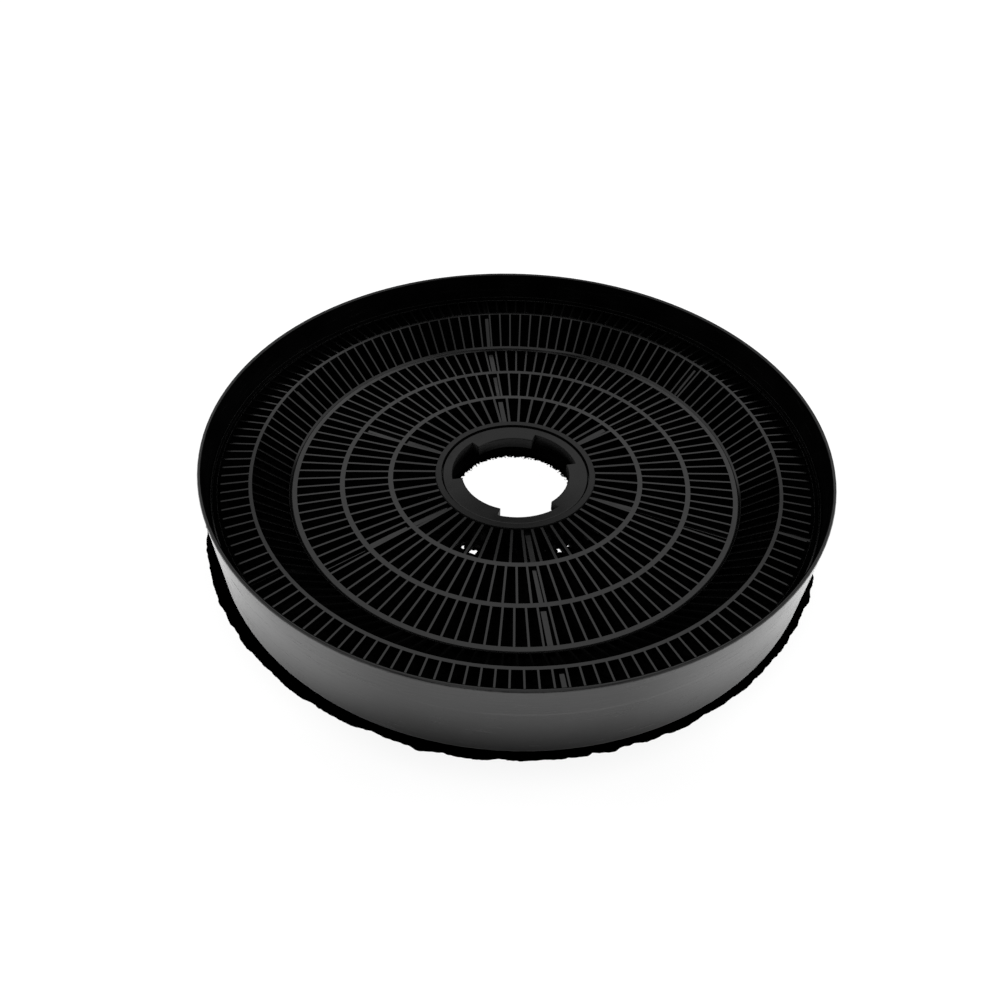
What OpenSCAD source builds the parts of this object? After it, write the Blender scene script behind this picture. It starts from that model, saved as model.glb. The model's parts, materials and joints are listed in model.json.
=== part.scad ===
// Round carbon filter for a cooker hood.
// A shallow drum: an open-topped casing with a slotted floor, six radial webs
// and a central bayonet collar, a dished slotted grille dropped in on top of
// the webs, and six beds of loose carbon held between the two grilles.
// The filter stands on its floor with its axis along Z. All sizes are in mm.

/* [Casing] */
// Outside diameter across the rim
rim_d = 235; // [215:1:260]
// Height from the floor to the top of the rim
total_h = 35; // [30:0.5:45]
// Draft of the side wall, in degrees
wall_draft = 2; // [0:0.5:4]
// Thickness of the side wall
wall_t = 1.5; // [1.2:0.1:2.2]
// Thickness of the slotted floor
floor_t = 1.6; // [1.2:0.1:2.4]
// Radius of the edge between the wall and the floor
foot_r = 1.5; // [0.6:0.1:2.5]
// Radius of the two edges of the rim, at most half the wall
rim_edge_r = 0.7; // [0.2:0.05:1]
// Width of the ledge inside the wall that carries the grille
ledge_w = 1.8; // [1.2:0.1:3]

/* [Webs and carbon] */
// Number of radial webs, and so of carbon beds
web_count = 6; // [3:1:6]
// Thickness of a web
web_t = 2; // [1.2:0.1:3]
// Turn of the first web from the X axis, in degrees
web_turn = 39.6; // [0:0.1:60]
// How far the carbon has settled below the grille
fill_drop = 2.2; // [1:0.1:4]
// How far the settled carbon stands off the collar at the floor
slump_foot = 6; // [0:0.5:8]
// How far the settled carbon stands off the collar at its top
slump_top = 13; // [0:0.5:16]

/* [Grille] */
// Depth of the flat middle of the grille below the rim
disc_depth = 22.4; // [19:0.1:24]
// Depth of the raised outer band of the grille below the rim
band_depth = 11.9; // [9:0.1:14]
// Thickness of the grille plate, and so the depth of its ribs
plate_t = 1.2; // [0.8:0.1:2]
// Depth of the lips under the hub ring and at both ends of the slope
lip_depth = 2; // [1.4:0.1:2.4]
// Width of the flat ring round the hub
hub_ring_w = 2.2; // [1.5:0.1:3]
// How far the hub ring stands above the ribs
hub_rise = 0.4; // [0:0.1:1]
// Place of the first ring, as a share of the way from the hub ring to the slope
ring_a_at = 0.33; // [0.25:0.005:0.45]
// Place of the second ring, as a share of the same way
ring_b_at = 0.677; // [0.55:0.001:0.8]
// Width of the first and second rings
ring_w = 1.9; // [1:0.05:3]
// Width of the flat ring at the foot of the slope
foot_ring_w = 1.7; // [1:0.1:3]
// Width of the slope, measured level
slope_w = 12.8; // [9:0.1:18]
// Width of the ring at the head of the slope
head_ring_w = 1.1; // [0.8:0.05:3]
// Length of the slots in the outer band
band_slot = 11.3; // [8:0.1:16]
// Solid strip left between the foot of the slope and its slots
slope_strip = 0.6; // [0.3:0.1:2]
// Width of the plain margin outside the outer slots
margin_w = 2.2; // [1.8:0.1:4]
// Length over which the outer ribs dip towards the margin
rib_dip_w = 1.4; // [0.6:0.1:3]
// How far the outer ribs have dipped where they end
rib_dip = 0.35; // [0:0.05:0.6]
// Width of the raised edge next to the wall
edge_w = 0.4; // [0.3:0.05:1.5]
// How far the raised edge stands above the ribs
edge_rise = 0.45; // [0:0.05:1]

/* [Ribs] */
// Ribs between the hub and the first ring
ribs_1 = 54; // [36:1:60]
// Ribs between the first and second rings
ribs_2 = 85; // [60:1:95]
// Ribs between the second ring and the slope
ribs_3 = 110; // [80:1:120]
// Ribs on the slope
ribs_4 = 129; // [90:1:140]
// Ribs on the outer band
ribs_5 = 149; // [100:1:160]
// Width of the ribs next to the hub
rib_w_1 = 1; // [0.8:0.05:1.8]
// Width of the ribs between the first and second rings
rib_w_2 = 0.85; // [0.7:0.05:1.6]
// Width of the ribs between the second ring and the slope
rib_w_3 = 0.8; // [0.6:0.05:1.6]
// Width of the ribs on the slope
rib_w_4 = 0.7; // [0.6:0.05:1.4]
// Width of the ribs on the outer band
rib_w_5 = 0.7; // [0.6:0.05:1.4]

/* [Bayonet collar] */
// Diameter of the hole between the bayonet tabs
bore_d = 42.4; // [34:0.1:52]
// How far the tabs reach in from the floor of the notches
tab_reach = 4; // [2.5:0.1:6]
// Wall left between the floor of a notch and the outside of the spigot
notch_wall = 3.8; // [2.4:0.1:6]
// Number of notches, and so of tabs
notch_count = 3; // [2:1:4]
// Angle that each notch takes, in degrees
notch_angle = 56.5; // [30:0.5:70]
// Turn of the first notch from the X axis, in degrees
notch_turn = 44.5; // [0:0.5:120]
// Thickness of the bayonet tabs
tab_t = 4.6; // [2.5:0.1:6]
// Wall of the collar below the tabs
collar_t = 2.4; // [1.6:0.1:3]
// Radius of the outer upper edge of the spigot
spigot_edge_r = 0.7; // [0.2:0.1:1.2]
// How far the collar's top lies below the flat middle of the grille
collar_drop = 0.2; // [0:0.1:0.6]
// Radius of the upper edge of the hole
bore_edge_r = 0.4; // [0.2:0.1:1.2]

/* [Clearances] */
// Gap between the hub ring and the collar, all round
hub_gap = 0.35; // [0.1:0.05:0.6]
// Gap between the grille and the side wall, all round
wall_gap = 0.25; // [0.1:0.05:0.6]
// Gap between a carbon bed and what stands round it
bed_gap = 0.3; // [0.2:0.05:0.6]
// Gap between a web and the lips that pass over it
web_gap = 0.3; // [0.2:0.05:0.8]

/* [Hidden] */
$fn = 180;

black_plastic = [0.09, 0.09, 0.095];
rib_plastic = [0.13, 0.13, 0.135];
carbon = [0.03, 0.03, 0.03];

rim_r = rim_d / 2;
rim_round = min(rim_edge_r, 0.48 * wall_t);
disc_z = total_h - disc_depth;
band_z = total_h - band_depth;

// Radius of the outer and the inner face of the wall at height z.
function wall_out(z) = rim_r - (total_h - z) * tan(wall_draft);
function wall_in(z) = wall_out(z) - wall_t;

// Turn of the first rib in each ring of slots, in degrees from the X axis.
rib_turn = [2.87, 1.18, -0.18, 1.28, 0];
// Plain strip between the end of a slot and a lip or margin.
slot_land = 0.15;
// Crease between the foot ring and the slope: width and depth.
crease_w = 0.4;
crease_d = 0.25;

// Bayonet collar, from the hole outwards: hole, notches, spigot, and the tube
// below the tabs.
bore_r = bore_d / 2;
notch_r = bore_r + tab_reach;
spigot_r = notch_r + notch_wall;
tube_r = spigot_r - collar_t;
collar_top = disc_z - collar_drop;
shoulder_z = disc_z - lip_depth;

// Hub ring of the grille, round the spigot.
hub_r0 = spigot_r + hub_gap;
hub_r1 = hub_r0 + hub_ring_w;

// Edge of the grille and its seat, from the wall inwards: raised edge, groove
// and margin, and the ledge below.
seat_z = band_z - lip_depth - plate_t / 2;
groove_z = seat_z + plate_t;
edge_r1 = wall_in(seat_z) - wall_gap;
edge_r0 = edge_r1 - edge_w;
band_r1 = edge_r1 - margin_w;
ledge_r = wall_in(seat_z) - ledge_w;
ledge_lean = 1;

// Head and foot of the slope, from the outer band inwards.
head_ring_r = band_r1 - band_slot - 2 * slot_land;
slope_r1 = head_ring_r - head_ring_w;
slope_r0 = slope_r1 - slope_w;
foot_ring_r = slope_r0 - crease_w;
foot_ring_r0 = foot_ring_r - foot_ring_w;
slope_rise = (band_z - disc_z) / slope_w;
slope_drop = plate_t * sqrt(1 + slope_rise * slope_rise);

// Mean radii of the two rings between the hub ring and the slope.
ring_a_r = hub_r1 + ring_a_at * (foot_ring_r0 - hub_r1);
ring_b_r = hub_r1 + ring_b_at * (foot_ring_r0 - hub_r1);

// How far joined bodies run into each other.
overlap = 0.5;
// Plain strip of the floor round the collar.
floor_land = 1.5;

// Points on an arc round c, from angle a0 to a1.
function arc(c, r, a0, a1, n = 6) =
    [for (i = [0:n]) let (a = a0 + (a1 - a0) * i / n) c + r * [cos(a), sin(a)]];

// One ring of slots: n ribs of width w stand between radii r0 and r1, and the
// first rib lies along angle turn. Each slot is a wedge with straight ends.
module slot_ring(r0, r1, n, w, turn) {
    half = 180 / n;
    b0 = half - asin(w / 2 / r0);
    b1 = half - asin(w / 2 / r1);
    for (i = [0:n - 1])
        rotate(turn + half + i * 360 / n)
            polygon([r0 * [cos(b0), -sin(b0)], r1 * [cos(b1), -sin(b1)],
                     r1 * [cos(b1), sin(b1)], r0 * [cos(b0), sin(b0)]]);
}

// The five rings of slots, shared by the grille and the floor: from radius
// r_hub to r_end, with the ring on the slope from r_slope. They stop short of
// the lips by slot_land.
module slot_pattern(r_hub, r_slope, r_end) {
    slot_ring(r_hub, ring_a_r - ring_w / 2, ribs_1, rib_w_1, rib_turn[0]);
    slot_ring(ring_a_r + ring_w / 2, ring_b_r - ring_w / 2, ribs_2, rib_w_2, rib_turn[1]);
    slot_ring(ring_b_r + ring_w / 2, foot_ring_r0 - slot_land,
              ribs_3, rib_w_3, rib_turn[2]);
    slot_ring(r_slope, slope_r1 - slot_land, ribs_4, rib_w_4, rib_turn[3]);
    slot_ring(head_ring_r + slot_land, r_end, ribs_5, rib_w_5, rib_turn[4]);
}

// Cross-section of the grille, from the hub to the wall and back underneath.
module grille_section() {
    polygon([
        [hub_r0, disc_z + hub_rise],
        [hub_r1, disc_z + hub_rise],
        [hub_r1, disc_z],
        [foot_ring_r, disc_z],
        [(foot_ring_r + slope_r0) / 2, disc_z - crease_d],
        [slope_r0, disc_z],
        [slope_r1, band_z],
        [band_r1 - rib_dip_w, band_z],
        [band_r1, band_z - rib_dip],
        [edge_r0, groove_z],
        [edge_r0, band_z + edge_rise],
        [edge_r1, band_z + edge_rise],
        [edge_r1, seat_z],
        [band_r1 + overlap, seat_z],
        [band_r1, band_z - plate_t],
        [head_ring_r, band_z - plate_t],
        [head_ring_r, band_z - lip_depth],
        [slope_r1, band_z - lip_depth],
        [slope_r1, band_z - slope_drop],
        [slope_r0, disc_z - slope_drop],
        [slope_r0, disc_z - lip_depth],
        [foot_ring_r0, disc_z - lip_depth],
        [foot_ring_r0, disc_z - plate_t],
        [hub_r1, disc_z - plate_t],
        [hub_r1, shoulder_z],
        [hub_r0, shoulder_z]
    ]);
}

module top_grille() {
    color(rib_plastic)
    difference() {
        rotate_extrude() grille_section();
        translate([0, 0, shoulder_z - 1])
            linear_extrude(band_z - shoulder_z + 3)
                slot_pattern(hub_r1 + slot_land, slope_r0 + slope_strip, band_r1 - slot_land);
    }
}

// Cross-section of the casing from the floor's outer edge to the rim and down
// the inside, with the ledge that carries the grille.
module wall_section() {
    polygon(concat(
        [[ledge_r - ledge_lean, 0]],
        arc([wall_out(foot_r) - foot_r, foot_r], foot_r, -90, 0, 5),
        arc([rim_r - rim_round, total_h - rim_round], rim_round, 0, 90, 5),
        arc([rim_r - wall_t + rim_round, total_h - rim_round], rim_round, 90, 180, 5),
        [[wall_in(seat_z), seat_z], [ledge_r, seat_z], [ledge_r - ledge_lean, floor_t]]
    ));
}

// Cross-section of the collar: shoulder and spigot outside, tabs inside.
module collar_section() {
    polygon(concat(
        [[tube_r, 0], [hub_r1, 0], [hub_r1, shoulder_z], [spigot_r, shoulder_z]],
        arc([spigot_r - spigot_edge_r, collar_top - spigot_edge_r], spigot_edge_r, 0, 90, 4),
        arc([bore_r + bore_edge_r, collar_top - bore_edge_r], bore_edge_r, 90, 180, 4),
        [[bore_r, collar_top - tab_t], [tube_r, collar_top - tab_t]]
    ));
}

// A sector from the axis out to radius r, centred on the X axis.
module sector(r, angle, steps = 8) {
    polygon(concat([[0, 0]], arc([0, 0], r, -angle / 2, angle / 2, steps)));
}

module collar() {
    difference() {
        rotate_extrude() collar_section();
        translate([0, 0, collar_top - tab_t - 1])
            linear_extrude(tab_t + 2)
                for (i = [0:notch_count - 1])
                    rotate(notch_turn + i * 360 / notch_count)
                        intersection() {
                            circle(r = notch_r);
                            sector(2 * notch_r, notch_angle);
                        }
    }
}

// Side view of one web, from the collar out to the wall. Its top runs just
// under the grille, with steps for the lips that pass over it.
module web_profile() {
    under_foot = disc_z - lip_depth - web_gap;
    under_head = band_z - lip_depth - web_gap;
    under_seat = seat_z - web_gap;
    polygon([
        [hub_r1 - overlap, 0],
        [hub_r1 - overlap, under_foot],
        [hub_r1 + web_gap, under_foot],
        [hub_r1 + web_gap, disc_z - plate_t],
        [foot_ring_r0 - web_gap, disc_z - plate_t],
        [foot_ring_r0 - web_gap, under_foot],
        [slope_r0 + web_gap, under_foot],
        [slope_r0 + web_gap, disc_z - slope_drop - web_gap],
        [slope_r1 - web_gap, band_z - slope_drop - web_gap - 2 * slope_rise * web_gap],
        [slope_r1 - web_gap, under_head],
        [head_ring_r + web_gap, under_head],
        [head_ring_r + web_gap, band_z - plate_t - web_gap],
        [band_r1 - web_gap, band_z - plate_t - web_gap],
        [band_r1 - web_gap, under_seat],
        [ledge_r, under_seat],
        [ledge_r, 0]
    ]);
}

module webs() {
    for (i = [0:web_count - 1])
        rotate([90, 0, web_turn + i * 360 / web_count])
            translate([0, 0, -web_t / 2])
                linear_extrude(web_t) web_profile();
}

// The floor: a flat plate with the same rings of slots as the grille.
module floor_grille() {
    linear_extrude(floor_t)
        difference() {
            circle(r = ledge_r - ledge_lean + overlap);
            circle(r = hub_r1 - overlap);
            slot_pattern(hub_r1 + floor_land, slope_r0, ledge_r - ledge_lean - slot_land);
        }
}

module casing() {
    color(black_plastic)
    union() {
        rotate_extrude() wall_section();
        collar();
        webs();
        floor_grille();
    }
}

// Cross-section of a carbon bed: it lies on the floor, follows the grille a
// little below it, and has slumped away from the collar.
module bed_section() {
    fill = plate_t + fill_drop;
    polygon([
        [hub_r1 + bed_gap + slump_foot, floor_t],
        [hub_r1 + bed_gap + slump_top, disc_z - fill],
        [slope_r0 + bed_gap, disc_z - fill],
        [slope_r1 + bed_gap, band_z - fill],
        [ledge_r - bed_gap, band_z - fill],
        [ledge_r - ledge_lean - bed_gap, floor_t]
    ]);
}

// The carbon between two webs, with sides parallel to their faces.
module carbon_bed(number) {
    half = 180 / web_count;
    apex = (web_t / 2 + bed_gap) / sin(half);
    reach = rim_r / cos(half);
    color(carbon)
    rotate(web_turn + (2 * number - 1) * half)
        intersection() {
            rotate_extrude() bed_section();
            linear_extrude(total_h)
                polygon([[apex, 0], [apex, 0] + reach * [cos(half), -sin(half)],
                         [apex, 0] + reach * [cos(half), sin(half)]]);
        }
}

casing();
top_grille();
carbon_bed(1);  // carbon_bed_1
carbon_bed(2);  // carbon_bed_2
carbon_bed(3);  // carbon_bed_3
carbon_bed(4);  // carbon_bed_4
carbon_bed(5);  // carbon_bed_5
carbon_bed(6);  // carbon_bed_6
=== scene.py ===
"""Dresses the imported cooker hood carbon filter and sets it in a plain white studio.

The casing and the slotted grille are the frame's own solids and only get their
finish here. The six carbon beds keep their solids too, and each gets a layer
of loose grains on top. All sizes are in metres.
"""

import json
import logging
import math
from dataclasses import dataclass, field
from enum import Enum

import bpy
import numpy as np
from mathutils import Matrix, Vector

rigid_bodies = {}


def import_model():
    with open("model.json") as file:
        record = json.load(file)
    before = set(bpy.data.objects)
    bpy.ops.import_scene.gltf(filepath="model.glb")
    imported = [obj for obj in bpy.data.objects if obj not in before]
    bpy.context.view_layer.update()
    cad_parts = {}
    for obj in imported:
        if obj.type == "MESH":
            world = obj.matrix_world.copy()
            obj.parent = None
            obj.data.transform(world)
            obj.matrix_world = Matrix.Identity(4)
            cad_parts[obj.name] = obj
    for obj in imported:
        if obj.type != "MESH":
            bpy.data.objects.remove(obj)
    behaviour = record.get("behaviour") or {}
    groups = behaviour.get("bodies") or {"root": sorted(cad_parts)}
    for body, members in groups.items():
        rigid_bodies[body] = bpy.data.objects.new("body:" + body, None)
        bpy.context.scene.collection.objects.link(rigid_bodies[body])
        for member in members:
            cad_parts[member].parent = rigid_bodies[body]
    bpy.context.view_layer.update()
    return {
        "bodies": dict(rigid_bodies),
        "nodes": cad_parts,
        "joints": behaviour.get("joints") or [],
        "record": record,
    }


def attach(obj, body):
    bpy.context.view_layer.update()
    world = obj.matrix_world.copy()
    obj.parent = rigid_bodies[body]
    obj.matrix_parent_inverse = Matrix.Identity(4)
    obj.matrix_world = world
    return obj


LOG = logging.getLogger("carbon_filter")
MM = 0.001

FLAT = (1.0, 1.0, 0.0)
AXIS = (0.0, 0.0, 0.0)
BLACK = (0.0, 0.0, 0.0, 1.0)
WHITE = (1.0, 1.0, 1.0, 1.0)

Socket = bpy.types.NodeSocket
Input = float | int | tuple | Socket


class Slot(Enum):
    """The record's material slots."""

    CASING = "casing_plastic"
    GRILLE = "grille_plastic"
    CARBON = "carbon"


# ---------------------------------------------------------------- node trees


def opaque(grey: float) -> tuple[float, float, float, float]:
    """Returns a grey as a colour that a socket takes."""
    return (grey, grey, grey, 1.0)


def fresh_material(name: str) -> tuple[bpy.types.Material, "Graph"]:
    """Returns a new material called name, and the graph of its empty tree."""
    made = bpy.data.materials.new(name)
    made.use_nodes = True
    made.node_tree.nodes.clear()
    return made, Graph(made.node_tree)


class Graph:
    """Adds nodes to one node tree and joins them."""

    def __init__(self, tree: bpy.types.NodeTree) -> None:
        """Args: tree: the tree that gets the nodes."""
        self.tree = tree

    def node(self, kind: str, inputs: dict[str | int, Input] | None = None,
             **settings: object) -> bpy.types.Node:
        """Adds one node.

        Args:
            kind: the node's type, without the leading ShaderNode.
            inputs: a number, colour or socket for each named input.
            settings: the node's own properties.

        Returns:
            The new node.
        """
        made = self.tree.nodes.new("ShaderNode" + kind)
        for name, value in settings.items():
            setattr(made, name, value)
        for name, value in (inputs or {}).items():
            self.feed(made.inputs[name], value)
        return made

    def feed(self, socket: Socket, value: Input) -> None:
        """Joins value to socket, or sets it there if it is a number or colour.

        Args:
            socket: the input to fill.
            value: another node's output, or the plain value.
        """
        if isinstance(value, bpy.types.NodeSocket):
            self.tree.links.new(value, socket)
        else:
            socket.default_value = value

    def math(self, operation: str, *values: Input, clamp: bool = False) -> Socket:
        """Adds one Math node.

        Args:
            operation: the node's operation.
            values: its inputs in order.
            clamp: whether the result is kept between 0 and 1.

        Returns:
            The node's output.
        """
        return self.node("Math", dict(enumerate(values)), operation=operation,
                         use_clamp=clamp).outputs[0]

    def vector(self, operation: str, *values: Input, out: str = "Vector") -> Socket:
        """Adds one Vector Math node.

        Args:
            operation: the node's operation.
            values: its inputs in order.
            out: the output that is wanted, Vector or Value.

        Returns:
            That output.
        """
        made = self.node("VectorMath", operation=operation)
        for socket, value in zip(made.inputs, values):
            self.feed(socket, value)
        return made.outputs[out]

    def product(self, *values: Input) -> Socket:
        """Returns the product of two or more values."""
        total = values[0]
        for value in values[1:]:
            total = self.math("MULTIPLY", total, value)
        return total

    def from_axis(self, place: Socket) -> Socket:
        """Returns the distance of place from the upright axis."""
        flat = self.vector("MULTIPLY", place, FLAT)
        return self.vector("LENGTH", flat, out="Value")

    def noise(self, place: Socket, scale: Input, detail: float = 2.0,
              roughness: float = 0.5) -> Socket:
        """Adds a noise texture.

        Args:
            place: where it is read.
            scale: the number of lumps in a metre.
            detail: how many finer layers it has.
            roughness: how strong the finer layers are.

        Returns:
            A value from 0 to 1.
        """
        return self.node("TexNoise", {"Vector": place, "Scale": scale, "Detail": detail,
                                      "Roughness": roughness}).outputs["Fac"]

    def step(self, value: Input, low: Input, high: Input, to_low: Input = 0.0,
             to_high: Input = 1.0) -> Socket:
        """Adds an eased step.

        Args:
            value: what the step depends on.
            low: the value up to which the result is to_low.
            high: the value from which the result is to_high.
            to_low: the result before the step.
            to_high: the result after it.

        Returns:
            The step's result.
        """
        return self.node("MapRange", {"Value": value, "From Min": low, "From Max": high,
                                      "To Min": to_low, "To Max": to_high},
                         interpolation_type="SMOOTHSTEP").outputs["Result"]

    def mix(self, share: Input, first: Input, second: Input) -> Socket:
        """Mixes two colours.

        Args:
            share: how much of second is in the mix, from 0 to 1.
            first: a colour.
            second: the other colour.

        Returns:
            The mixed colour.
        """
        made = self.node("Mix", data_type="RGBA")
        for socket, value in ((made.inputs[0], share), (made.inputs[6], first),
                              (made.inputs[7], second)):
            self.feed(socket, value)
        return made.outputs[2]


class Effect:
    """A shader node group that several finishes share."""

    made: dict[str, bpy.types.NodeTree] = {}

    @classmethod
    def start(cls, name: str, inputs: dict[str, float | None],
              outputs: dict[str, str]) -> tuple[Graph, dict[str, Socket], dict[str, Socket]]:
        """Makes an empty group.

        Args:
            name: the group's name.
            inputs: each input's default, or None for a vector.
            outputs: each output's kind, Float or Vector.

        Returns:
            The graph to fill, and its input and output sockets by name.
        """
        tree = bpy.data.node_groups.new(name, "ShaderNodeTree")
        for label, default in inputs.items():
            kind = "NodeSocketVector" if default is None else "NodeSocketFloat"
            made = tree.interface.new_socket(label, in_out="INPUT", socket_type=kind)
            if default is not None:
                made.default_value = default
        for label, kind in outputs.items():
            tree.interface.new_socket(label, in_out="OUTPUT",
                                      socket_type="NodeSocket" + kind)
        graph = Graph(tree)
        source = tree.nodes.new("NodeGroupInput")
        sink = tree.nodes.new("NodeGroupOutput")
        cls.made[name] = tree
        return graph, dict(source.outputs.items()), dict(sink.inputs.items())

    @classmethod
    def place(cls, graph: Graph, name: str, **inputs: Input) -> dict[str, Socket]:
        """Puts a group into a material, and makes it first if it is new.

        Args:
            graph: the material's graph.
            name: the group's name.
            inputs: a value for each of its inputs that differs from the default.

        Returns:
            The group's outputs by name.
        """
        if name not in cls.made:
            getattr(cls, "make_" + name)()
        made = graph.node("Group", node_tree=cls.made[name])
        for label, value in inputs.items():
            graph.feed(made.inputs[label], value)
        return dict(made.outputs.items())

    @classmethod
    def make_moulding_grain(cls) -> None:
        """Makes fine spark-eroded grain with slow waves under it: two noises of
        the place, one at Scale and one at a fortieth of it."""
        graph, source, sink = cls.start(
            "moulding_grain", {"Place": None, "Scale": 3000.0},
            {"Height": "Float", "Patch": "Float"})
        fine = graph.noise(source["Place"], source["Scale"], 2.0)
        slow_scale = graph.math("DIVIDE", source["Scale"], 40.0)
        slow = graph.noise(source["Place"], slow_scale, 3.0)
        graph.feed(sink["Height"],
                   graph.math("ADD", fine, graph.product(slow, 2.0)))
        graph.feed(sink["Patch"], graph.step(slow, 0.35, 0.65))

    @classmethod
    def make_drum_streaks(cls) -> None:
        """Makes faint lines round the drum: noise of the place with its height
        drawn out Stretch times, so that it changes quickly up the wall and
        slowly round it."""
        graph, source, sink = cls.start(
            "drum_streaks", {"Place": None, "Scale": 60.0, "Stretch": 12.0},
            {"Height": "Float", "Mask": "Float"})
        tall = graph.node("CombineXYZ", {"X": 1.0, "Y": 1.0, "Z": source["Stretch"]})
        drawn = graph.vector("MULTIPLY", source["Place"], tall.outputs[0])
        value = graph.noise(drawn, source["Scale"], 5.0, 0.62)
        graph.feed(sink["Height"], value)
        graph.feed(sink["Mask"], graph.step(value, 0.5, 0.72))

    @classmethod
    def make_near(cls) -> None:
        """Makes a Mask that is 1 close to the upright axis and eases to 0 from
        Radius less Ease out to Radius."""
        graph, source, sink = cls.start(
            "near", {"Place": None, "Radius": 32.0 * MM, "Ease": 0.4 * MM},
            {"Mask": "Float"})
        r = graph.from_axis(source["Place"])
        start = graph.math("SUBTRACT", source["Radius"], source["Ease"])
        graph.feed(sink["Mask"], graph.step(r, start, source["Radius"], 1.0, 0.0))

    @classmethod
    def make_soft_edges(cls) -> None:
        """Makes worn edges: Mask is how far the surface turns within Radius,
        broken up by noise of the place, and Normal is the turned normal."""
        graph, source, sink = cls.start(
            "soft_edges", {"Place": None, "Radius": 0.15 * MM, "Breakup": 900.0},
            {"Mask": "Float", "Normal": "Vector"})
        turned = graph.node("Bevel", {"Radius": source["Radius"]}, samples=4).outputs[0]
        flat = graph.node("NewGeometry").outputs["Normal"]
        alike = graph.vector("DOT_PRODUCT", turned, flat, out="Value")
        turn = graph.math("SUBTRACT", 1.0, alike)
        broken = graph.noise(source["Place"], source["Breakup"], 2.0)
        graph.feed(sink["Mask"], graph.product(graph.step(turn, 0.01, 0.2),
                                               graph.step(broken, 0.35, 0.7)))
        graph.feed(sink["Normal"], turned)


# ---------------------------------------------------------------- finishes


@dataclass(frozen=True)
class MouldedPlastic:
    """Black moulded plastic, half gloss, with grain, scuffs and worn edges. It
    is duller round the collar and a little as far as funnel_r, and all within
    funnel_r has sunk a little towards the axis, which only tilts its gloss.

    Roughness is the least there is; patches, streaks, edges and the collar
    each add their own share to it.
    """

    name: str
    colour: float = 0.0005
    worn: float = 0.0016
    # the colour of scuffs, and on the casing also of painted light on the hole walls
    scuff_and_light_colour: float = 0.02
    patch_wear: float = 0.35
    edge_wear: float = 0.8
    edge_radius: float = 0.12 * MM
    roughness: float = 0.12
    patch_roughness: float = 0.05
    streak_roughness: float = 0.04
    edge_roughness: float = 0.1
    collar_roughness: float = 0.12
    ior: float = 1.48
    gloss: float = 0.5
    collar_r: float = 32.0 * MM
    collar_dull: float = 0.2
    funnel_r: float = 48.2 * MM
    funnel_dull: float = 0.17
    funnel_slope: float = 0.125
    grain_scale: float = 2600.0
    grain_depth: float = 0.004 * MM
    streak_depth: float = 0.0

    def material(self) -> bpy.types.Material:
        """Returns the finish as a material."""
        made, graph = fresh_material(self.name)
        place = graph.node("TexCoord").outputs["Object"]
        grain = Effect.place(graph, "moulding_grain", Place=place, Scale=self.grain_scale)
        edges = Effect.place(graph, "soft_edges", Place=place, Radius=self.edge_radius)
        streaks = Effect.place(graph, "drum_streaks", Place=place)
        collar = Effect.place(graph, "near", Place=place, Radius=self.collar_r)
        funnel = Effect.place(graph, "near", Place=place, Radius=self.funnel_r)

        colour = graph.mix(graph.product(grain["Patch"], self.patch_wear),
                           opaque(self.colour), opaque(self.worn))
        colour = graph.mix(graph.product(edges["Mask"], self.edge_wear),
                           colour, opaque(self.worn))
        # scuffs, and on the casing painted light on the bayonet hole's upright walls
        colour = graph.mix(self.scuffs_and_painted_light(graph, place, streaks["Mask"]),
                           colour, opaque(self.scuff_and_light_colour))

        rough: Input = self.roughness
        for mask, more in ((grain["Patch"], self.patch_roughness),
                           (streaks["Mask"], self.streak_roughness),
                           (edges["Mask"], self.edge_roughness),
                           (collar["Mask"], self.collar_roughness)):
            rough = graph.math("ADD", rough, graph.product(mask, more))

        height = self.relief(graph, place, grain["Height"], streaks["Height"])
        normal = graph.node("Bump", {"Height": height, "Normal": edges["Normal"],
                                     "Strength": 1.0, "Distance": 1.0}).outputs[0]
        shader = graph.node("BsdfPrincipled", {
            "Base Color": colour, "Roughness": rough, "Normal": normal,
            "IOR": self.ior, "Specular IOR Level": self.gloss})
        graph.feed(shader.inputs["Specular IOR Level"],
                   self.shine(graph, collar["Mask"], funnel["Mask"]))
        graph.node("OutputMaterial", {"Surface": shader.outputs[0]})
        return made

    def shine(self, graph: Graph, collar: Socket, funnel: Socket) -> Socket:
        """Works out how strong the gloss is: less near the axis, and nothing
        where the plastic is itself seen in gloss.

        Args:
            graph: the material's graph.
            collar: 1 as far as the collar reaches.
            funnel: 1 as far as the funnel reaches.

        Returns:
            The specular level. Without this link it is plain gloss.
        """
        seen_in_gloss = graph.node("LightPath").outputs["Is Glossy Ray"]
        dull = graph.math("ADD", graph.product(collar, self.collar_dull),
                          graph.product(funnel, self.funnel_dull))
        return graph.product(graph.math("SUBTRACT", 1.0, seen_in_gloss),
                             graph.math("SUBTRACT", 1.0, dull), self.gloss)

    def scuffs_and_painted_light(self, graph: Graph, place: Socket, streaks: Socket) -> Input:
        """Works out the share of scuffs and painted light: none here.

        Args:
            graph: the material's graph.
            place: the point on the piece.
            streaks: where the drum's streaks are.

        Returns:
            The share of scuffs and painted light, from 0 to 1.
        """
        return 0.0

    def relief(self, graph: Graph, place: Socket, grain: Socket,
               streaks: Socket) -> Socket:
        """Works out the surface's height: grain, streaks and the funnel, which
        is funnel_slope times the distance from the axis as far as funnel_r.

        Args:
            graph: the material's graph.
            place: the point on the piece.
            grain: the grain's height, as a share of grain_depth.
            streaks: the streaks' height, as a share of streak_depth.

        Returns:
            The height in metres.
        """
        r = graph.math("MINIMUM", graph.from_axis(place), self.funnel_r)
        height = graph.math("ADD", graph.product(grain, self.grain_depth),
                            graph.product(r, self.funnel_slope))
        return graph.math("ADD", height, graph.product(streaks, self.streak_depth))


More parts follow.
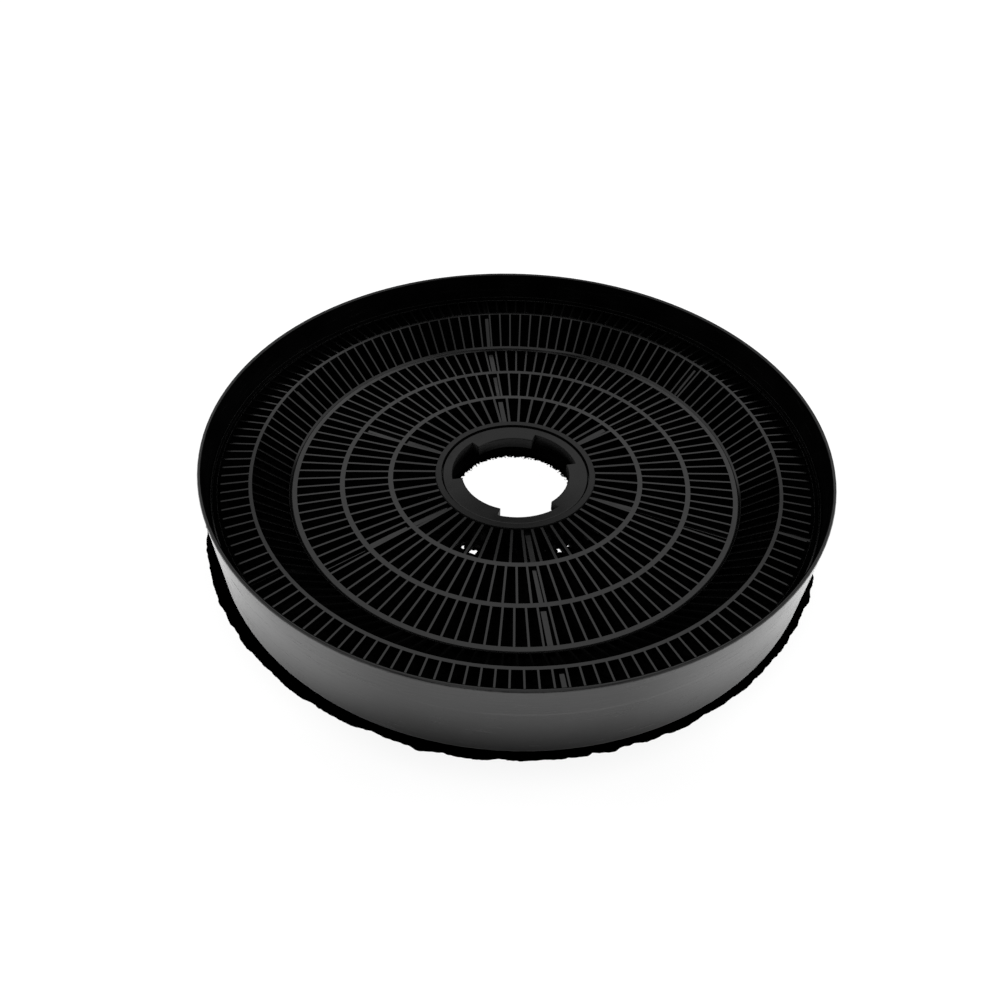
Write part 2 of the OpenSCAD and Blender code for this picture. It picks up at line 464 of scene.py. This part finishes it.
@dataclass(frozen=True)
class CasingPlastic(MouldedPlastic):
    """The casing's plastic. Its outside is streaked from the mould, the ledge
    inside the wall has left a faint line round it, and the upright walls of
    the bayonet hole carry painted light, lighter towards their top."""

    roughness: float = 0.09
    streak_depth: float = 0.05 * MM
    streak_roughness: float = 0.22
    streak_scuffs: float = 0.5
    outside_from: float = 60.0 * MM
    line_z: float = 22.6 * MM
    line_width: float = 0.35 * MM
    line_lumps: float = 25.0
    # painted light on the bayonet hole's upright walls: its radius, the heights over which
    # it eases in, and its share
    hole_r: float = 25.9 * MM
    hole_z: tuple[float, float] = (8.0 * MM, 12.5 * MM)
    hole_wall_light: float = 0.6
    upright_below: float = 0.3

    def scuffs_and_painted_light(self, graph: Graph, place: Socket, streaks: Socket) -> Input:
        """Works out where the surface is scuffed, and where light is painted on it.

        Outside these are scuffs: the streaks and a broken line, exp(-((z -
        line_z) / line_width) squared) times noise of the place. The outside is
        where the normal's part away from the axis, times the distance from it, is
        over outside_from. In the hole, painted light lies on the upright walls,
        none below the first of hole_z and the most from the second upwards.

        Args:
            graph: the material's graph.
            place: the point on the piece.
            streaks: where the drum's streaks are.

        Returns:
            The share of scuffs, from 0 to 1.
        """
        z = graph.node("SeparateXYZ", {0: place}).outputs["Z"]
        normal = graph.node("NewGeometry").outputs["Normal"]

        off = graph.math("DIVIDE", graph.math("SUBTRACT", z, self.line_z), self.line_width)
        line = graph.math("EXPONENT", graph.product(off, off, -1.0))
        broken = graph.step(graph.noise(place, self.line_lumps), 0.4, 0.6)
        marked = graph.math("ADD", graph.product(streaks, self.streak_scuffs),
                            graph.product(line, broken), clamp=True)
        outwards = graph.vector("DOT_PRODUCT", normal,
                                graph.vector("MULTIPLY", place, FLAT), out="Value")
        outside = graph.math("GREATER_THAN", outwards, self.outside_from)

        # painted light: the hole's upright walls are lighter towards their top
        in_hole = graph.math("LESS_THAN", graph.from_axis(place), self.hole_r)
        facing_up = graph.node("SeparateXYZ", {0: normal}).outputs["Z"]
        upright = graph.math("LESS_THAN", facing_up, self.upright_below)
        painted_wall_light = graph.product(in_hole, upright,
                               graph.step(z, *self.hole_z, 0.0, self.hole_wall_light))
        return graph.math("ADD", graph.product(marked, outside), painted_wall_light)


@dataclass(frozen=True)
class CarbonGrit:
    """Loose active carbon: dull black with fine pits and a little dust."""

    name: str = "carbon_grit"
    colour: float = 0.0003
    dust: float = 0.0008
    dusty: float = 0.5
    roughness: float = 0.3
    patch_roughness: float = 0.3
    ior: float = 1.5
    gloss: float = 0.0
    pit_scale: float = 2200.0
    pit_depth: float = 0.03 * MM

    def material(self) -> bpy.types.Material:
        """Returns the finish as a material."""
        made, graph = fresh_material(self.name)
        place = graph.node("TexCoord").outputs["Object"]
        grain = Effect.place(graph, "moulding_grain", Place=place, Scale=self.pit_scale)
        colour = graph.mix(graph.product(grain["Patch"], self.dusty),
                           opaque(self.colour), opaque(self.dust))
        rough = graph.math("ADD", self.roughness,
                           graph.product(grain["Patch"], self.patch_roughness))
        height = graph.product(grain["Height"], self.pit_depth)
        normal = graph.node("Bump", {"Height": height, "Strength": 1.0,
                                     "Distance": 1.0}).outputs[0]
        shader = graph.node("BsdfPrincipled", {
            "Base Color": colour, "Roughness": rough, "Normal": normal,
            "IOR": self.ior, "Specular IOR Level": self.gloss})
        graph.node("OutputMaterial", {"Surface": shader.outputs[0]})
        return made


def dress(piece: bpy.types.Object, finish: bpy.types.Material) -> None:
    """Gives a piece its finish.

    Args:
        piece: the piece.
        finish: its one material.
    """
    piece.data.materials.clear()
    piece.data.materials.append(finish)


# ---------------------------------------------------------------- pieces


@dataclass
class Casing:
    """The open-topped drum with its floor grille, webs and collar."""

    node: str = "casing"

    def dress(self, frame: dict) -> None:
        """Gives the frame's own solid its finish.

        Args:
            frame: the loaded frame.
        """
        finish = CasingPlastic("casing_black").material()
        dress(frame["nodes"][self.node], finish)


@dataclass
class TopGrille:
    """The dished slotted grille."""

    node: str = "top_grille"

    def dress(self, frame: dict) -> None:
        """Gives the frame's own solid its finish.

        Args:
            frame: the loaded frame.
        """
        finish = MouldedPlastic("grille_black").material()
        dress(frame["nodes"][self.node], finish)


@dataclass(frozen=True)
class GrainShape:
    """One grain: a rounded lump on a grid of around by along steps.

    Point (u, v) is (a cos u sin v, b sin u sin v, c cos v), with u round the
    lump and v from pole to pole, a, b and c its half sizes, and each point
    drawn in or out at random by up to lump of its distance.
    """

    around: int = 8
    along: int = 6
    lump: float = 0.14

    def points(self, half: np.ndarray, rng: np.random.Generator) -> np.ndarray:
        """Works out the points of all grains about their own centres.

        Args:
            half: the half sizes of each grain, one row of three a grain.
            rng: where the random numbers come from.

        Returns:
            An array of grains by points by three.
        """
        u = np.arange(self.around) * 2 * np.pi / self.around
        v = np.arange(1, self.along) * np.pi / self.along
        vv, uu = np.meshgrid(v, u, indexing="ij")
        ring = np.stack([np.cos(uu) * np.sin(vv), np.sin(uu) * np.sin(vv),
                         np.cos(vv)], -1)
        unit = np.concatenate([ring.reshape(-1, 3), [[0, 0, 1], [0, 0, -1]]])
        drawn = 1 + self.lump * rng.uniform(-1, 1, (len(half), len(unit), 1))
        return unit[None] * drawn * half[:, None, :]

    def faces(self) -> np.ndarray:
        """Returns one grain's triangles, facing outwards."""
        rows = self.along - 1
        i, j = np.meshgrid(np.arange(rows - 1), np.arange(self.around), indexing="ij")
        k = (j + 1) % self.around
        a, b = i * self.around + j, i * self.around + k
        c, d = (i + 1) * self.around + j, (i + 1) * self.around + k
        sides = np.concatenate([np.stack([a, c, d], -1).reshape(-1, 3),
                                np.stack([a, d, b], -1).reshape(-1, 3)])
        j = np.arange(self.around)
        k = (j + 1) % self.around
        top, low = rows * self.around, rows * self.around + 1
        last = (rows - 1) * self.around
        caps = np.concatenate([np.stack([np.full_like(j, top), j, k], -1),
                               np.stack([np.full_like(j, low), last + k, last + j], -1)])
        return np.concatenate([sides, caps])


def turned(points: np.ndarray, rng: np.random.Generator) -> np.ndarray:
    """Turns each grain's points by its own random rotation.

    The rotation is the matrix of a unit quaternion (w, x, y, z) drawn evenly.

    Args:
        points: grains by points by three.
        rng: where the random numbers come from.

    Returns:
        The turned points.
    """
    q = rng.normal(size=(len(points), 4))
    w, x, y, z = (q / np.linalg.norm(q, axis=1, keepdims=True)).T
    matrix = np.stack([
        np.stack([1 - 2 * (y * y + z * z), 2 * (x * y - w * z), 2 * (x * z + w * y)], -1),
        np.stack([2 * (x * y + w * z), 1 - 2 * (x * x + z * z), 2 * (y * z - w * x)], -1),
        np.stack([2 * (x * z - w * y), 2 * (y * z + w * x), 1 - 2 * (x * x + y * y)], -1),
    ], 1)
    return np.einsum("nij,npj->npi", matrix, points)


@dataclass
class CarbonFill:
    """The loose carbon: six beds, each with a layer of grains on top.

    Each bare sector is given as its middle and half its width in degrees. Sink
    is how far a grain's middle may lie below and above the bed's surface, in
    millimetres.
    """

    beds: int = 6
    web_turn: float = 39.6
    web_gap: float = 1.9 * MM
    inner_r: float = 30.9 * MM
    slump_r0: float = 37.8 * MM
    slump_r1: float = 44.8 * MM
    slope_r0: float = 87.8 * MM
    slope_r1: float = 100.5 * MM
    outer_r: float = 111.0 * MM
    floor_z: float = 2.9 * MM
    low_z: float = 9.2 * MM
    high_z: float = 19.7 * MM
    pitch: float = 2.35 * MM
    steps: int = 60
    shift: float = 0.33
    sink: tuple[float, float] = (-0.7, 0.15)
    half_size: tuple[float, float] = (0.95 * MM, 1.5 * MM)
    bare: tuple[tuple[float, float], ...] = (
        (247.0, 4.0), (300.0, 3.5), (332.0, 2.5), (239.0, 2.5), (309.5, 2.5))
    bare_r: float = 46.5 * MM
    bare_share: float = 0.9
    shape: GrainShape = field(default_factory=GrainShape)
    seed: int = 7

    def top(self, r: np.ndarray) -> np.ndarray:
        """Works out the height of the beds' surface: on the floor near the
        collar, up the slump, flat, up the slope, then flat.

        Args:
            r: distances from the axis.

        Returns:
            The height at each.
        """
        return np.interp(r, [self.slump_r0, self.slump_r1, self.slope_r0, self.slope_r1],
                         [self.floor_z, self.low_z, self.low_z, self.high_z])

    def thinned(self, flat: np.ndarray, rng: np.random.Generator) -> np.ndarray:
        """Picks the grains that stay: near the collar, about bare_share of them
        are gone within each bare sector.

        Args:
            flat: the grains' places seen from above.
            rng: where the random numbers come from.

        Returns:
            True for each grain that stays.
        """
        turn = np.degrees(np.arctan2(flat[:, 1], flat[:, 0]))
        near = np.hypot(flat[:, 0], flat[:, 1]) < self.bare_r
        in_bare = np.zeros(len(flat), bool)
        for middle, half in self.bare:
            in_bare |= np.abs((turn - middle + 180) % 360 - 180) < half
        return ~(near & in_bare & (rng.uniform(size=len(flat)) < self.bare_share))

    def places(self, number: int, rng: np.random.Generator) -> np.ndarray:
        """Works out the middles of one bed's grains.

        They lie on a grid of triangles with side pitch, each shifted at random
        by up to a third of it, and only those between the two webs are kept.

        Args:
            number: the bed's number, from 1.
            rng: where the random numbers come from.

        Returns:
            One row of three for each grain.
        """
        steps = np.arange(-self.steps, self.steps + 1)
        i, j = np.meshgrid(steps, steps, indexing="ij")
        x = (i + 0.5 * (j % 2)) * self.pitch
        y = j * self.pitch * math.sqrt(3) / 2
        flat = np.stack([x.ravel(), y.ravel()], -1)
        flat = flat + rng.uniform(-self.shift, self.shift, flat.shape) * self.pitch
        r = np.hypot(flat[:, 0], flat[:, 1])
        half = math.radians(180 / self.beds)
        middle = math.radians(self.web_turn) + (2 * number - 1) * half
        off = np.arctan2(flat[:, 1], flat[:, 0]) - middle
        off = np.abs((off + np.pi) % (2 * np.pi) - np.pi)
        clear = r * np.sin(np.clip(half - off, 0, None))
        kept = (off < half) & (clear > self.web_gap)
        kept &= (r > self.inner_r) & (r < self.outer_r)
        kept &= self.thinned(flat, rng)
        flat, r = flat[kept], r[kept]
        z = self.top(r) + rng.uniform(*self.sink, len(r)) * MM
        return np.column_stack([flat, z])

    def build(self, number: int) -> bpy.types.Object:
        """Makes one bed's layer of grains as a single mesh.

        Args:
            number: the bed's number, from 1.

        Returns:
            The new piece.
        """
        rng = np.random.default_rng(self.seed + number)
        middles = self.places(number, rng)
        half = rng.uniform(*self.half_size, (len(middles), 3))
        points = turned(self.shape.points(half, rng), rng) + middles[:, None, :]
        first = np.arange(len(points))[:, None, None] * points.shape[1]
        faces = self.shape.faces()[None] + first
        mesh = bpy.data.meshes.new(f"carbon_grains_{number}")
        mesh.from_pydata(points.reshape(-1, 3).tolist(), [], faces.reshape(-1, 3).tolist())
        mesh.polygons.foreach_set("use_smooth", np.ones(len(mesh.polygons), bool))
        mesh.update()
        piece = bpy.data.objects.new(mesh.name, mesh)
        bpy.context.scene.collection.objects.link(piece)
        return piece

    def dress(self, frame: dict) -> None:
        """Adds the grains and gives them and the beds their finish.

        Args:
            frame: the loaded frame.
        """
        grit = CarbonGrit().material()
        for number in range(1, self.beds + 1):
            dress(frame["nodes"][f"carbon_bed_{number}"], grit)
            grains = self.build(number)
            dress(grains, grit)
            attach(grains, "root")
            LOG.info("%s: %d triangles", grains.name, len(grains.data.polygons))


# ---------------------------------------------------------------- studio


@dataclass
class Viewpoint:
    """The photograph's camera."""

    place: tuple[float, float, float] = (0.0, -0.25451671, 0.24079036)
    aim: tuple[float, float, float] = (-0.00539792, -0.01643202, 0.0126)
    roll: float = 1.6928
    lens: float = 30.929
    sensor: float = 36.0
    clip: tuple[float, float] = (0.01, 50.0)

    def build(self) -> None:
        """Makes the camera and makes it the scene's own."""
        data = bpy.data.cameras.new("camera")
        data.lens, data.sensor_width = self.lens, self.sensor
        data.clip_start, data.clip_end = self.clip
        camera = bpy.data.objects.new("camera", data)
        bpy.context.scene.collection.objects.link(camera)
        look = Vector(self.aim) - Vector(self.place)
        turn = look.to_track_quat("-Z", "Y").to_matrix().to_4x4()
        camera.matrix_world = (Matrix.Translation(self.place) @ turn
                               @ Matrix.Rotation(math.radians(self.roll), 4, "Z"))
        bpy.context.scene.camera = camera


@dataclass(frozen=True)
class Lamp:
    """One square soft lamp that looks at the drum. Gloss doesn't show it, only
    the tent. Size is the length of its side, and power is in watts."""

    name: str
    place: tuple[float, float, float]
    size: float
    power: float

    def build(self) -> None:
        """Makes the lamp."""
        data = bpy.data.lights.new(self.name, "AREA")
        data.size, data.energy = self.size, self.power
        lamp = bpy.data.objects.new(self.name, data)
        lamp.visible_glossy = False
        bpy.context.scene.collection.objects.link(lamp)
        turn = (-Vector(self.place)).to_track_quat("-Z", "Y").to_matrix().to_4x4()
        lamp.matrix_world = Matrix.Translation(self.place) @ turn


@dataclass(frozen=True)
class Floor:
    """The white floor: matt white to light and gloss but for painted shade under
    and round the drum, plain white to the camera, and black to it in a ragged
    band of painted shadow round the drum's foot and round the edge of the
    bayonet hole.

    Each lit slot is a white spot under a bare slot, given as its turn in
    degrees, its radius and its reach in millimetres. A pair of radii is where
    an eased step begins and ends.
    """

    half: float = 3.0
    z: float = -0.05 * MM
    matt_white: float = 0.86
    shown_white: float = 0.88
    glow_r: tuple[float, float] = (50.0 * MM, 60.0 * MM)
    glow: tuple[float, float] = (1.14, 1.0)
    # painted shadow: a ragged black band round the foot and round the hole's edge, seen by
    # the camera only
    shadow_band_middle: tuple[float, float, float] = (-1.1 * MM, 2.1 * MM, 0.0)
    shadow_band_r: float = 121.0 * MM
    shadow_band_ragged: float = 3.6 * MM
    shadow_band_lumps: float = 130.0
    hole_r: float = 23.8 * MM
    hole_shadow_ragged: float = 5.5 * MM
    hole_lumps: float = 900.0
    lit_slots: tuple[tuple[float, float, float], ...] = (
        (247.0, 36.8, 2.4), (300.0, 35.9, 2.2), (332.0, 40.0, 1.4), (238.7, 35.3, 0.9),
        (309.5, 33.6, 1.3))
    lit_ragged: float = 0.8
    # painted shade on the floor to light and gloss: in the hole, round the foot and in front
    inside_r: float = 30.0 * MM
    inside_lit: tuple[float, float] = (10.0 * MM, 15.0 * MM)
    inside_level: float = 0.25
    foot_middle: tuple[float, float, float] = (0.0, -8.0 * MM, 0.0)
    foot_r: tuple[float, float] = (104.0 * MM, 122.0 * MM)
    foot_level: float = 0.25
    front_middle: tuple[float, float, float] = (5.0 * MM, -150.0 * MM, 0.0)
    front_r: tuple[float, float] = (45.0 * MM, 95.0 * MM)
    front_level: float = 0.72

    def build(self) -> None:
        """Makes the floor and its material."""
        h, z = self.half, self.z
        mesh = bpy.data.meshes.new("floor")
        mesh.from_pydata([(-h, -h, z), (h, -h, z), (h, h, z), (-h, h, z)], [],
                         [(0, 1, 2, 3)])
        piece = bpy.data.objects.new("floor", mesh)
        bpy.context.scene.collection.objects.link(piece)
        piece.data.materials.append(self.material())

    def material(self) -> bpy.types.Material:
        """Returns the floor's material."""
        made, graph = fresh_material("floor_white")
        place = graph.node("TexCoord").outputs["Object"]
        camera = graph.node("LightPath").outputs["Is Camera Ray"]
        # to the camera, black where the painted shadow lies
        mask = graph.math("MAXIMUM", self.white(graph, place),
                          graph.math("SUBTRACT", 1.0, camera))
        # painted shade on the floor's matt colour
        level = graph.product(self.shade(graph, place),
                              graph.product(mask, self.matt_white))
        matt = graph.node("BsdfDiffuse", {"Color": graph.mix(level, BLACK, WHITE)})
        r = graph.vector("LENGTH", place, out="Value")
        glow = graph.node("Emission", {"Color": graph.mix(mask, BLACK, WHITE),
                                       "Strength": graph.step(r, *self.glow_r, *self.glow)})
        both = graph.node("MixShader", {0: graph.product(camera, self.shown_white)})
        graph.feed(both.inputs[1], matt.outputs[0])
        graph.feed(both.inputs[2], glow.outputs[0])
        graph.node("OutputMaterial", {"Surface": both.outputs[0]})
        return made

    def distance(self, graph: Graph, place: Socket, middle: tuple[float, float, float],
                 ragged: float, lumps: float) -> Socket:
        """Works out a ragged distance.

        Args:
            graph: the material's graph.
            place: the point on the floor.
            middle: what the distance is from.
            ragged: its noise, up to half of this either way.
            lumps: the noise's lumps in a metre.

        Returns:
            The distance with its noise.
        """
        r = graph.vector("DISTANCE", place, middle, out="Value")
        noise = graph.math("SUBTRACT", graph.noise(place, lumps, 3.0), 0.5)
        return graph.math("ADD", r, graph.product(noise, ragged))

    def white(self, graph: Graph, place: Socket) -> Socket:
        """Works out where the floor is white to the camera: beyond the band of
        painted shadow, in the bayonet hole, and in the lit slots. Elsewhere it is
        black, painted shadow.

        Args:
            graph: the material's graph.
            place: the point on the floor.

        Returns:
            1 where it is white, otherwise 0 where shadow is painted.
        """
        # painted shadow: black to the camera inside this ragged band and beyond the hole's
        # ragged edge
        outside = graph.math("GREATER_THAN", self.distance(
            graph, place, self.shadow_band_middle, self.shadow_band_ragged, self.shadow_band_lumps), self.shadow_band_r)
        hole = graph.math("LESS_THAN", self.distance(
            graph, place, AXIS, self.hole_shadow_ragged, self.hole_lumps), self.hole_r)
        white = graph.math("MAXIMUM", outside, hole)
        for turn, r, reach in self.lit_slots:
            turn = math.radians(turn)
            middle = (r * math.cos(turn) * MM, r * math.sin(turn) * MM, 0.0)
            spot = graph.math("LESS_THAN", self.distance(
                graph, place, middle, self.lit_ragged * reach * MM, self.hole_lumps),
                reach * MM)
            white = graph.math("MAXIMUM", white, spot)
        return white

    def shade(self, graph: Graph, place: Socket) -> Socket:
        """Works out the painted shade on the floor to light and gloss: dark under the
        drum but for the middle of the hole, and darker round the foot, most of
        all in front.

        Args:
            graph: the material's graph.
            place: the point on the floor.

        Returns:
            The level, from 0 to 1.
        """
        r = graph.vector("LENGTH", place, out="Value")
        inside = graph.step(r, *self.inside_lit, self.inside_level, 0.0)
        foot = graph.step(graph.vector("DISTANCE", place, self.foot_middle, out="Value"),
                          *self.foot_r, self.foot_level, 1.0)
        front = graph.step(graph.vector("DISTANCE", place, self.front_middle, out="Value"),
                           *self.front_r, self.front_level, 1.0)
        outside = graph.math("GREATER_THAN", r, self.inside_r)
        lit = graph.product(outside, graph.product(foot, front))
        return graph.math("MAXIMUM", inside, lit)


@dataclass(frozen=True)
class Surroundings:
    """The world: white to the camera, an even sky as light, and to gloss a tent.

    The tent is dark low down and eases up to its band over edge_width. With x
    to the right, its lower edge lies at the direction's height edge_low -
    edge_bow * x * x + edge_lean * x, so that it comes lower at the sides.
    Above the band it falls a little to the zenith. To either side it falls
    over the range of side_x to side_level, and rises again by far_more over
    the range of far_x.
    """

    sky: float = 0.85
    horizon: float = 0.03
    band: float = 0.95
    zenith: float = 0.65
    zenith_up: tuple[float, float] = (0.84, 0.95)
    edge_low: float = 0.50
    edge_width: float = 0.12
    edge_bow: float = 0.58
    edge_lean: float = 0.05
    side_x: tuple[float, float] = (0.25, 0.33)
    side_level: float = 0.35
    far_x: tuple[float, float] = (0.40, 0.55)
    far_more: float = 0.50

    def build(self) -> None:
        """Makes the world and makes it the scene's own."""
        world = bpy.data.worlds.new("surroundings")
        world.use_nodes = True
        world.node_tree.nodes.clear()
        graph = Graph(world.node_tree)
        path = graph.node("LightPath").outputs
        gloss = path["Is Glossy Ray"]
        light = graph.math("ADD", graph.product(gloss, self.tent(graph)),
                           graph.product(graph.math("SUBTRACT", 1.0, gloss), self.sky))
        seen = graph.math("MAXIMUM", path["Is Camera Ray"], path["Is Transmission Ray"])
        strength = graph.math("MAXIMUM", seen, light)
        back = graph.node("Background", {"Color": WHITE, "Strength": strength})
        graph.node("OutputWorld", {"Surface": back.outputs[0]})
        bpy.context.scene.world = world

    def tent(self, graph: Graph) -> Socket:
        """Works out how bright the tent is.

        Args:
            graph: the world's graph.

        Returns:
            The level in the ray's direction.
        """
        ray = graph.node("TexCoord").outputs["Generated"]
        way = graph.node("SeparateXYZ", {0: ray}).outputs
        across, up = way["X"], way["Z"]
        bow = graph.product(across, across, -self.edge_bow)
        low = graph.math("ADD", graph.math("ADD", bow, self.edge_low),
                         graph.product(across, self.edge_lean))
        rise = graph.step(graph.math("SUBTRACT", up, low), 0.0, self.edge_width,
                          self.horizon, self.band)
        fall = graph.step(up, *self.zenith_up, 1.0, self.zenith / self.band)
        aside = graph.math("ABSOLUTE", across)
        side = graph.math("ADD", graph.step(aside, *self.side_x, 1.0, self.side_level),
                          graph.step(aside, *self.far_x, 0.0, self.far_more))
        return graph.product(rise, fall, side)


@dataclass(frozen=True)
class Studio:
    """A white floor in white surroundings, with two soft lamps."""

    floor: Floor = Floor()
    surroundings: Surroundings = Surroundings()
    lamps: tuple[Lamp, ...] = (Lamp("key_lamp", (-1.2, 0.35, 1.2), 0.9, 27.0),
                               Lamp("fill_lamp", (1.2, 0.35, 1.2), 0.9, 30.0))

    def build(self) -> None:
        """Makes the floor, the surroundings and the lamps."""
        self.floor.build()
        self.surroundings.build()
        for lamp in self.lamps:
            lamp.build()


# ---------------------------------------------------------------- main


def main() -> None:
    logging.basicConfig(level=logging.INFO, format="%(name)s %(message)s")
    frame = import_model()
    Casing().dress(frame)
    LOG.info("casing dressed")
    TopGrille().dress(frame)
    LOG.info("top grille dressed")
    CarbonFill().dress(frame)
    Viewpoint().build()
    LOG.info("camera placed")
    Studio().build()
    LOG.info("studio built")
    bpy.context.scene.view_settings.view_transform = "Standard"


if __name__ == "__main__":
    main()
